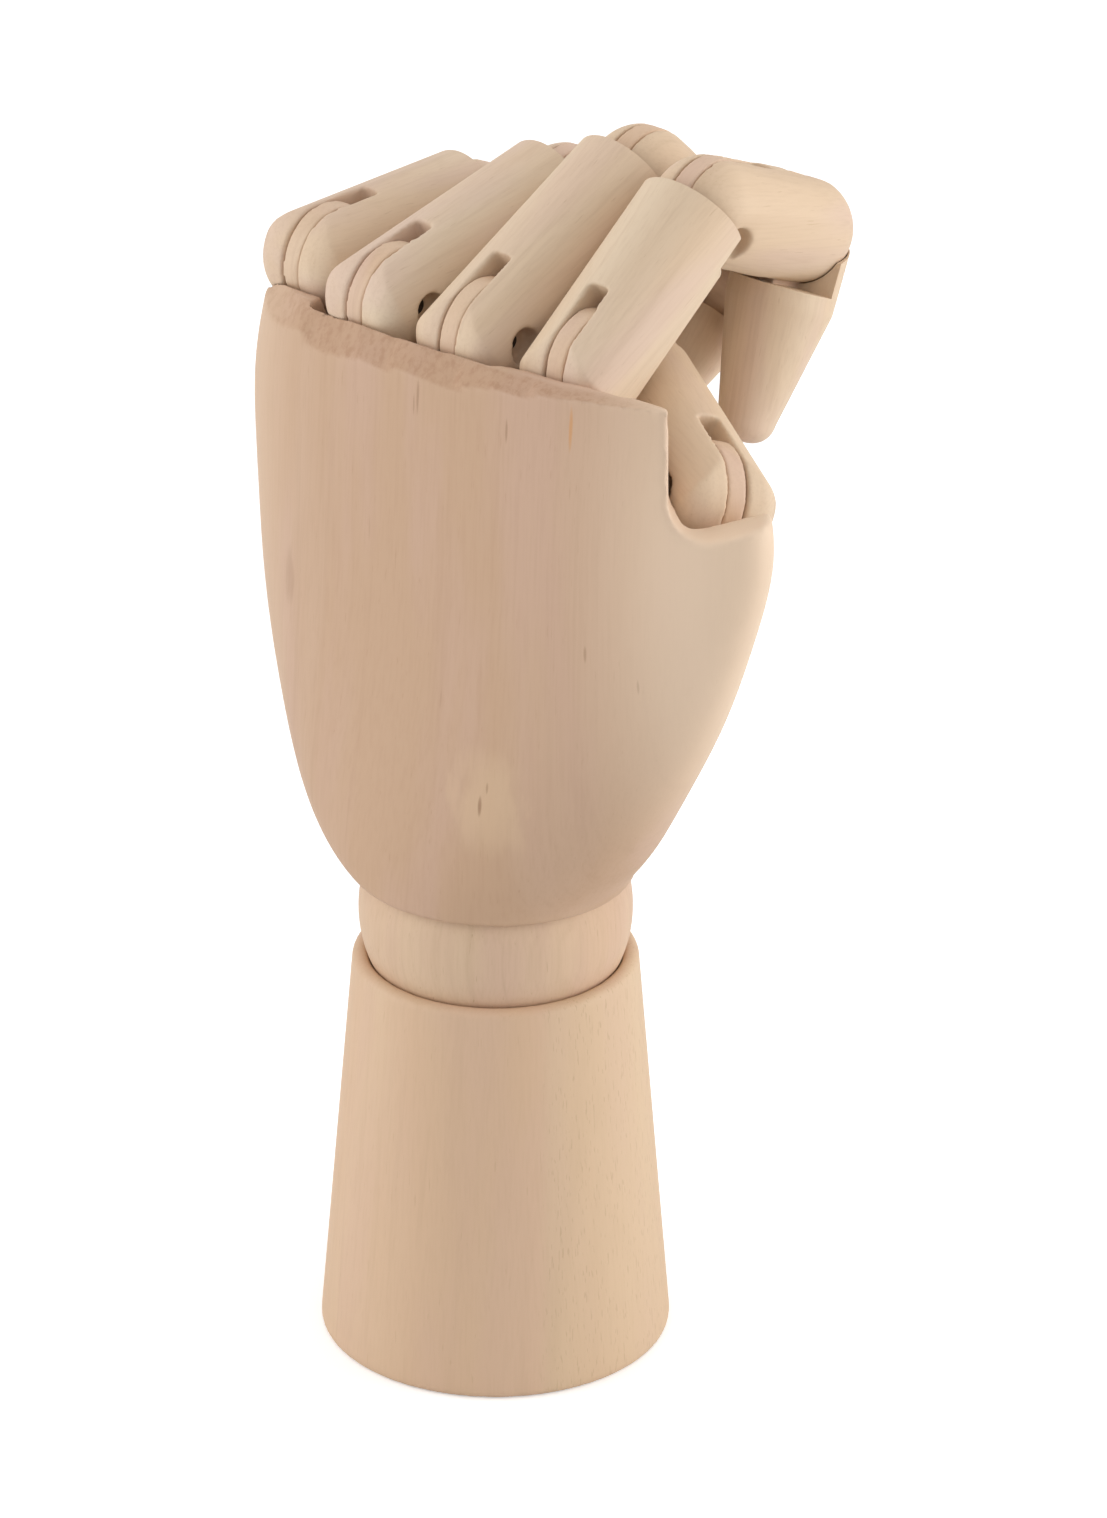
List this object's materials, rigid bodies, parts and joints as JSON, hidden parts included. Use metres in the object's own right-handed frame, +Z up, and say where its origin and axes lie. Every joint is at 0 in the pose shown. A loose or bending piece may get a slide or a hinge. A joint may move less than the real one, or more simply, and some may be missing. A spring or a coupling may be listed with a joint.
{
  "type": "jointed wooden hand",
  "caption": "Jointed wooden left hand closed to a loose fist, with pinned finger segments and a ball wrist on a tapered round foot.",
  "frame": {"origin": "centre of the foot's underside", "axes": "+Z up the foot's axis; the back of the hand faces -Y, the fingers curl to +Y and the thumb lies to +X"},
  "size_m": [0.0979, 0.0836, 0.1814],
  "materials": {
    "palm_wood": "sanded bare wood, pinkish tan",
    "finger_wood": "sanded bare wood, creamy",
    "turned_wood": "turned and sanded bare wood",
    "tongue_wood": "sanded bare wood",
    "steel": "dull darkened steel"
  },
  "bodies": {
    "foot": {"base_cone": "turned_wood", "base_plug": "turned_wood", "base_washer": "steel"},
    "swivel": {"swivel_bolt": "steel", "swivel_nut": "steel", "tie_spring": "steel"},
    "ball": {"wrist_ball": "turned_wood"},
    "palm": {"palm_block": "palm_wood", "palm_screw_eye": "steel", "index_knuckle_tongue": "tongue_wood", "middle_knuckle_tongue": "tongue_wood", "ring_knuckle_tongue": "tongue_wood", "little_knuckle_tongue": "tongue_wood", "thumb_knuckle_tongue": "tongue_wood"},
    "index_first": {"index_proximal": "finger_wood", "index_knuckle_pin": "steel", "index_middle_tongue": "tongue_wood"},
    "index_second": {"index_middle": "finger_wood", "index_middle_pin": "steel", "index_end_pin": "steel"},
    "index_third": {"index_distal": "finger_wood", "index_end_tongue": "tongue_wood"},
    "middle_first": {"middle_proximal": "finger_wood", "middle_knuckle_pin": "steel", "middle_middle_tongue": "tongue_wood"},
    "middle_second": {"middle_middle": "finger_wood", "middle_middle_pin": "steel", "middle_end_pin": "steel"},
    "middle_third": {"middle_distal": "finger_wood", "middle_end_tongue": "tongue_wood"},
    "ring_first": {"ring_proximal": "finger_wood", "ring_knuckle_pin": "steel", "ring_middle_tongue": "tongue_wood"},
    "ring_second": {"ring_middle": "finger_wood", "ring_middle_pin": "steel", "ring_end_pin": "steel"},
    "ring_third": {"ring_distal": "finger_wood", "ring_end_tongue": "tongue_wood"},
    "little_first": {"little_proximal": "finger_wood", "little_knuckle_pin": "steel", "little_middle_tongue": "tongue_wood"},
    "little_second": {"little_middle": "finger_wood", "little_middle_pin": "steel", "little_end_pin": "steel"},
    "little_third": {"little_distal": "finger_wood", "little_end_tongue": "tongue_wood"},
    "thumb_first": {"thumb_proximal": "finger_wood", "thumb_knuckle_pin": "steel", "thumb_end_tongue": "tongue_wood"},
    "thumb_second": {"thumb_distal": "finger_wood", "thumb_end_pin": "steel"}
  },
  "joints": [
    {"name": "wrist_turn", "type": "hinge", "parent": "foot", "child": "swivel", "pos_m": [0, 0, 0.0682], "axis": [0, 0, 1], "continuous": true},
    {"name": "wrist_nod", "type": "hinge", "parent": "swivel", "child": "ball", "pos_m": [0, 0, 0.0682], "axis": [1, 0, 0], "range_deg": [-18, 18], "deforming": ["tie_spring"]},
    {"name": "wrist_sway", "type": "hinge", "parent": "ball", "child": "palm", "pos_m": [0, 0, 0.0682], "axis": [0, 1, 0], "range_deg": [-18, 18]},
    {"name": "index_knuckle", "type": "hinge", "parent": "palm", "child": "index_first", "pos_m": [0.017, 0.0009, 0.1583], "axis": [-0.9985, -0.0541, 0], "range_deg": [-55.5, 6]},
    {"name": "index_middle_joint", "type": "hinge", "parent": "index_first", "child": "index_second", "pos_m": [0.0157, 0.02491, 0.17046], "axis": [-0.9985, -0.0541, 0], "range_deg": [-58, 15]},
    {"name": "index_end_joint", "type": "hinge", "parent": "index_second", "child": "index_third", "pos_m": [0.01445, 0.04791, 0.16419], "axis": [-0.9985, -0.0541, 0], "range_deg": [-90, 0]},
    {"name": "middle_knuckle", "type": "hinge", "parent": "palm", "child": "middle_first", "pos_m": [-0.0014, -0.0008, 0.1583], "axis": [-1, -0.007, 0], "range_deg": [-63, 4]},
    {"name": "middle_middle_joint", "type": "hinge", "parent": "middle_first", "child": "middle_second", "pos_m": [-0.00161, 0.02935, 0.16962], "axis": [-1, -0.007, 0], "range_deg": [-73, 4]},
    {"name": "middle_end_joint", "type": "hinge", "parent": "middle_second", "child": "middle_third", "pos_m": [-0.00176, 0.05014, 0.15327], "axis": [-1, -0.007, 0], "range_deg": [-90, 0]},
    {"name": "ring_knuckle", "type": "hinge", "parent": "palm", "child": "ring_first", "pos_m": [-0.0198, -0.0003, 0.1583], "axis": [-0.9991, 0.0419, 0], "range_deg": [-76, 4]},
    {"name": "ring_middle_joint", "type": "hinge", "parent": "ring_first", "child": "ring_second", "pos_m": [-0.01849, 0.03103, 0.16224], "axis": [-0.9991, 0.0419, 0], "range_deg": [-74, 4]},
    {"name": "ring_end_joint", "type": "hinge", "parent": "ring_second", "child": "ring_third", "pos_m": [-0.01785, 0.04633, 0.14265], "axis": [-0.9991, 0.0419, 0], "range_deg": [-70, 10]},
    {"name": "little_knuckle", "type": "hinge", "parent": "palm", "child": "little_first", "pos_m": [-0.0368, 0.0042, 0.1583], "axis": [-0.9986, 0.0523, 0], "range_deg": [-88, 1.5]},
    {"name": "little_middle_joint", "type": "hinge", "parent": "little_first", "child": "little_second", "pos_m": [-0.03546, 0.02968, 0.15559], "axis": [-0.9986, 0.0523, 0], "range_deg": [-68, 4]},
    {"name": "little_end_joint", "type": "hinge", "parent": "little_second", "child": "little_third", "pos_m": [-0.03479, 0.04259, 0.1354], "axis": [-0.9986, 0.0523, 0], "range_deg": [-66, 10]},
    {"name": "thumb_knuckle", "type": "hinge", "parent": "palm", "child": "thumb_first", "pos_m": [0.0342, 0.007, 0.1414], "axis": [-0.3365, -0.8927, 0.2996], "range_deg": [-3, 6]},
    {"name": "thumb_end_joint", "type": "hinge", "parent": "thumb_first", "child": "thumb_second", "pos_m": [0.01016, 0.01709, 0.14446], "axis": [-0.3365, -0.8927, 0.2996], "range_deg": [-4, 14]}
  ]
}
